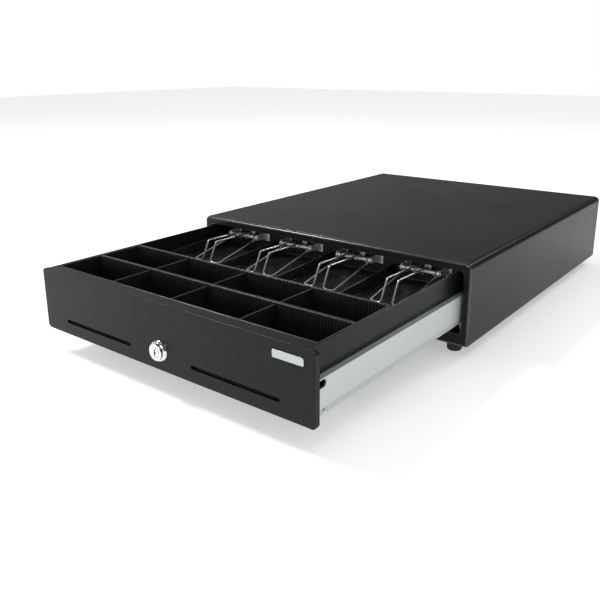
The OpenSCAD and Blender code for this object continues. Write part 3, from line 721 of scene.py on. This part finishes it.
def channel_rivets():
    """A small domed rivet low at the front of each slide channel."""
    head = [(1.25 * MM, -0.1 * MM), (1.25 * MM, 0.15 * MM), (0.9 * MM, 0.42 * MM), (0.4 * MM, 0.54 * MM)]
    from_front = 7 * MM
    below_fold = 2.6 * MM
    heads = []
    for side, way in (("left", -1), ("right", 1)):
        low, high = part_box(f"side_channel_{side}")
        face = high.x if way > 0 else low.x
        mesh = lathe("rivet", head, 20)
        place = Matrix.Translation((face, low.y + from_front, CHANNEL_FOLD - below_fold))
        mesh.transform(place @ Matrix.Rotation(math.radians(90 * way), 4, "Y"))
        heads.append(mesh)
    mesh = joined("channel_rivets", heads)
    smooth(mesh, 40)
    return new_piece("channel_rivets", mesh, BODY_OF["side_channel_left"], "steel")


def pan_lips():
    """The pan's upturned front edge, behind each of the front's slots, in the pan's near-black finish: painted
    shade seen through the slots.
    """
    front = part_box("drawer_front")[0].y
    size = (104 * MM, 1.1 * MM, 2.0 * MM)
    behind = 4.8 * MM
    height = 34.2 * MM
    work = bmesh.new()
    for way in (-1, 1):
        made = bmesh.ops.create_cube(work, size=1.0)
        bmesh.ops.scale(work, verts=made["verts"], vec=size)
        bmesh.ops.translate(work, verts=made["verts"], vec=(way * SLOT_X, front + behind, height))
    mesh = bpy.data.meshes.new("pan_lips")
    work.to_mesh(mesh)
    work.free()
    piece = new_piece("pan_lips", rounded("pan_lips", mesh, 0.2), BODY_OF["drawer_pan"], "galvanised")
    piece.data.materials[FACE] = PAN_PAINTED_SHADE
    return piece


def dull_slots(mesh):
    """Gives the rims of the front's two slots the flat face's finish, so they stay dark."""
    slot_z = 37.1 * MM
    half_height = 3.5 * MM
    half_length = 55 * MM
    for face in mesh.polygons:
        beside = abs(abs(face.center.x) - SLOT_X)
        if abs(face.center.z - slot_z) < half_height and beside < half_length:
            face.material_index = FACE


def rib_teeth():
    """Fine upright teeth down the faces of the tray's two cross ribs."""
    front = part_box("coin_divider_1")
    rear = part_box("coin_divider_4")
    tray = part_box("tray")
    teeth_per_cell = 24
    pitch = (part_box("coin_divider_2")[0].x - front[0].x) / teeth_per_cell
    clear_of_wall = 3.5 * MM
    half_count = math.floor((-tray[0].x - clear_of_wall) / pitch + 0.5)
    first_x = (0.5 - half_count) * pitch
    floor_z = front[0].z + 5 * MM
    height = tray[1].z - floor_z
    half = 0.75 * MM
    depth = 1.7
    profile = [(half, 0.0), (half, height - 0.9 * MM),
               (half * 0.8, height - 0.4 * MM), (half * 0.35, height)]
    tooth_mesh = lathe("tooth", profile, 8)
    tooth_mesh.transform(Matrix.Diagonal((1.0, depth, 1.0, 1.0)))
    tooth = bpy.data.objects.new("tooth", tooth_mesh)
    bpy.context.scene.collection.objects.link(tooth)
    tree = repeat_tree("teeth_in_a_line", tooth, "black_plastic")
    slack = 0.15 * MM
    faces = [front[1].y + slack, rear[0].y - slack, rear[1].y + slack]
    lines = [repeat(tree, (first_x, y, floor_z), (pitch, 0, 0), 2 * half_count) for y in faces]
    bpy.data.objects.remove(tooth)
    mesh = joined("rib_teeth", lines)
    smooth(mesh, 40)
    piece = new_piece("rib_teeth", mesh, BODY_OF["tray"], "black_plastic")
    # the whole teeth take the lighter edge finish: a painted highlight, dotted along the ribs
    mesh.materials[FACE] = EDGE_HIGHLIGHTS["black_plastic"]
    return piece


def long_spring(node, axis, radius, wire, turns):
    """A coil spring with a flat closed turn at each end, in place of a CAD spring."""
    low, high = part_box(node)
    middle = (low + high) / 2
    length = (high - low)[axis] - 2 * wire
    start = low[axis] + wire
    points = []
    per_turn = 18
    ends = 0.9
    end_share = 0.04
    total = turns + 2 * ends
    for step in range(round(total * per_turn) + 1):
        turn = step / per_turn
        first_end = min(turn / ends, 1.0)
        open_turns = min(max((turn - ends) / turns, 0.0), 1.0)
        last_end = max((turn - ends - turns) / ends, 0.0)
        rise = start + length * (end_share * (first_end + last_end) + (1 - 2 * end_share) * open_turns)
        angle = math.tau * turn
        across = [radius * math.cos(angle), radius * math.sin(angle)]
        spot = [0.0, 0.0, 0.0]
        spot[axis] = rise
        for other in range(3):
            if other != axis:
                spot[other] = middle[other] + across.pop(0)
        points.append(Vector(spot))
    mesh = wires(node + "_coil", [points], wire, 8)
    return new_piece(node + "_coil", mesh, BODY_OF[node], SLOT_OF[node], node)


# ---------- stage ----------

def camera():
    """A camera above the right front corner, looking down at the open drawer."""
    turn = math.radians(38.16)
    tilt = math.radians(15.81)
    roll = math.radians(-0.31)
    back = Vector((math.sin(turn) * math.cos(tilt), -math.cos(turn) * math.cos(tilt), math.sin(tilt)))
    flat = Vector((math.cos(turn), math.sin(turn), 0.0))
    rise = back.cross(flat)
    right = flat * math.cos(roll) + rise * math.sin(roll)
    up = rise * math.cos(roll) - flat * math.sin(roll)
    data = bpy.data.cameras.new("camera")
    data.lens = 41.31
    data.sensor_width = 36.0
    data.shift_y = -0.075
    data.clip_start = 0.01
    view = bpy.data.objects.new("camera", data)
    facing = Matrix((right, up, back)).transposed().to_4x4()
    view.matrix_world = Matrix.Translation((0.4249, -0.6620, 0.2764)) @ facing
    bpy.context.scene.collection.objects.link(view)
    bpy.context.scene.camera = view


def floor():
    """A plain pale floor that gives off a little light, to come close to the white backdrop."""
    reach = 5.0
    corners = [(-reach, -reach, 0), (reach, -reach, 0), (reach, reach, 0), (-reach, reach, 0)]
    mesh = bpy.data.meshes.new("floor")
    mesh.from_pydata(corners, [], [(0, 1, 2, 3)])
    ground = bpy.data.objects.new("floor", mesh)
    bpy.context.scene.collection.objects.link(ground)
    paper = Shader("pale_floor", (0.86, 0.86, 0.86), 0.9, specular=0.0)
    paper.set("Emission Color", (1, 1, 1, 1))
    paper.set("Emission Strength", 0.4)
    mesh.materials.append(paper.material)


def light(name, place, aim, size, power):
    """A soft square light that faces a point."""
    data = bpy.data.lights.new(name, "AREA")
    data.size = size
    data.energy = power
    lamp = bpy.data.objects.new(name, data)
    lamp.location = place
    lamp.rotation_euler = (Vector(aim) - Vector(place)).to_track_quat("-Z", "Y").to_euler()
    bpy.context.scene.collection.objects.link(lamp)


def room():
    """A white room: softer as light, and dim in glossy reflections, more so on the right than the left."""
    world = bpy.data.worlds.new("room")
    world.use_nodes = True
    tree = world.node_tree
    white = tree.nodes["Background"]
    white.inputs["Color"].default_value = (1, 1, 1, 1)
    white.inputs["Strength"].default_value = 1.0
    dim = tree.nodes.new("ShaderNodeBackground")
    dim.inputs["Color"].default_value = (0.94, 0.97, 1.0, 1)
    place = tree.nodes.new("ShaderNodeTexCoord")
    axes = tree.nodes.new("ShaderNodeSeparateXYZ")
    across = tree.nodes.new("ShaderNodeMapRange")
    for label, value in (("From Min", -0.8), ("From Max", -0.1), ("To Min", 0.46), ("To Max", 0.12)):
        across.inputs[label].default_value = value
    soft = tree.nodes.new("ShaderNodeBackground")
    soft.inputs["Color"].default_value = (1, 1, 1, 1)
    soft.inputs["Strength"].default_value = 0.55
    ray = tree.nodes.new("ShaderNodeLightPath")
    seen = tree.nodes.new("ShaderNodeMixShader")
    lit = tree.nodes.new("ShaderNodeMixShader")
    join = tree.links.new
    join(place.outputs["Generated"], axes.inputs[0])
    join(axes.outputs["X"], across.inputs["Value"])
    join(across.outputs["Result"], dim.inputs["Strength"])
    join(ray.outputs["Is Glossy Ray"], lit.inputs[0])
    join(soft.outputs[0], lit.inputs[1])
    join(dim.outputs[0], lit.inputs[2])
    join(ray.outputs["Is Camera Ray"], seen.inputs[0])
    join(lit.outputs[0], seen.inputs[1])
    join(white.outputs[0], seen.inputs[2])
    join(seen.outputs[0], tree.nodes["World Output"].inputs[0])
    bpy.context.scene.world = world
    bpy.context.scene.view_settings.view_transform = "Standard"


def studio():
    """Soft light from above and the front, and two small lights that draw lines along the edges."""
    room()
    light("above", (-0.1, 0.1, 2.2), (0, 0, 0), 1.8, 3)
    light("edge_key", (-1.3, -0.6, 1.7), (0, -0.1, 0.05), 0.4, 22)
    light("edge_rim", (0.55, 1.55, 1.25), (0, 0.0, 0.05), 0.4, 5)
    light("front", (-0.2, -2.1, 0.4), (0, -0.1, 0.05), 0.5, 13)


# ---------- the drawer ----------

camera()
floor()
studio()
for node, cad in NODES.items():
    cad.data.materials.clear()
    cad.data.materials.append(FINISHES[SLOT_OF[node]])

# how far each node's sharp edges are rounded, in mm
ROUNDING = {
    "rear_panel": 0.3, "base_pan": 0.3,
    "drawer_front": 0.7, "badge_plate": 0.18, "lock_barrel": 0.35, "lock_plug": 0.15, "lock_nut": 0.2,
    "lock_cam": 0.15, "tray": 0.45, "drawer_pan": 0.2, "keeper": 0.2, "tray_supports": 0.25,
    "housing_screws": 0.12, "foot_screws": 0.12, "front_screws": 0.12, "cable_socket": 0.25,
    "latch_bracket": 0.2, "latch_hook": 0.25, "latch_pin": 0.15, "solenoid_frame": 0.2,
    "solenoid_coil": 0.15, "solenoid_plunger": 0.2, "microswitch": 0.25, "drawer_stops": 0.4,
}
for side in ("left", "right"):
    for node in ("rail", "roller_bracket", "side_channel"):
        ROUNDING[f"{node}_{side}"] = 0.22
    ROUNDING[f"side_skin_{side}"] = 0.3
    ROUNDING[f"front_roller_{side}"] = 0.3
    ROUNDING[f"rear_roller_{side}"] = 0.3
    for end in ("front", "rear"):
        ROUNDING[f"foot_{end}_{side}"] = 0.5
for number in range(1, 7):
    ROUNDING[f"coin_divider_{number}"] = 0.3
for number in range(1, 5):
    ROUNDING[f"clip_bracket_{number}"] = 0.15
# pieces with a finish of their own: the pan painted near black as painted shade, the brackets painted lighter as
# painted light, the channels with painted shade at and below their fold
OWN_FINISH = {"drawer_pan": PAN_PAINTED_SHADE, "side_channel_left": CHANNEL, "side_channel_right": CHANNEL}
for number in range(1, 5):
    OWN_FINISH[f"clip_bracket_{number}"] = BRACKET_PAINTED_LIGHT

for node, width in ROUNDING.items():
    piece = soften(node, width)
    if node in OWN_FINISH:
        piece.data.materials[FACE] = OWN_FINISH[node]
    if node == "drawer_front":
        dull_slots(piece.data)
housing_cover()
front_frame()
for number in range(1, 5):
    note_clip(number)
rib_teeth()
channel_rivets()
pan_lips()
kick_spring = long_spring("kick_spring", 1, 7 * MM, 0.8 * MM, 7)
long_spring("latch_spring", 2, 3.3 * MM, 0.45 * MM, 6)

# the room that the shut drawer leaves behind its pan, as a share of the kick spring's length; the spring then gets
# a mesh of its own
spring_low, spring_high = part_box("kick_spring")
shut_travel = abs(JOINTS["drawer_slide"]["range_m"][0])
spring_gap = 1 * MM
room_left = spring_high.y - (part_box("drawer_pan")[1].y + shut_travel) - spring_gap
room_left / (spring_high.y - spring_low.y)
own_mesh(kick_spring)
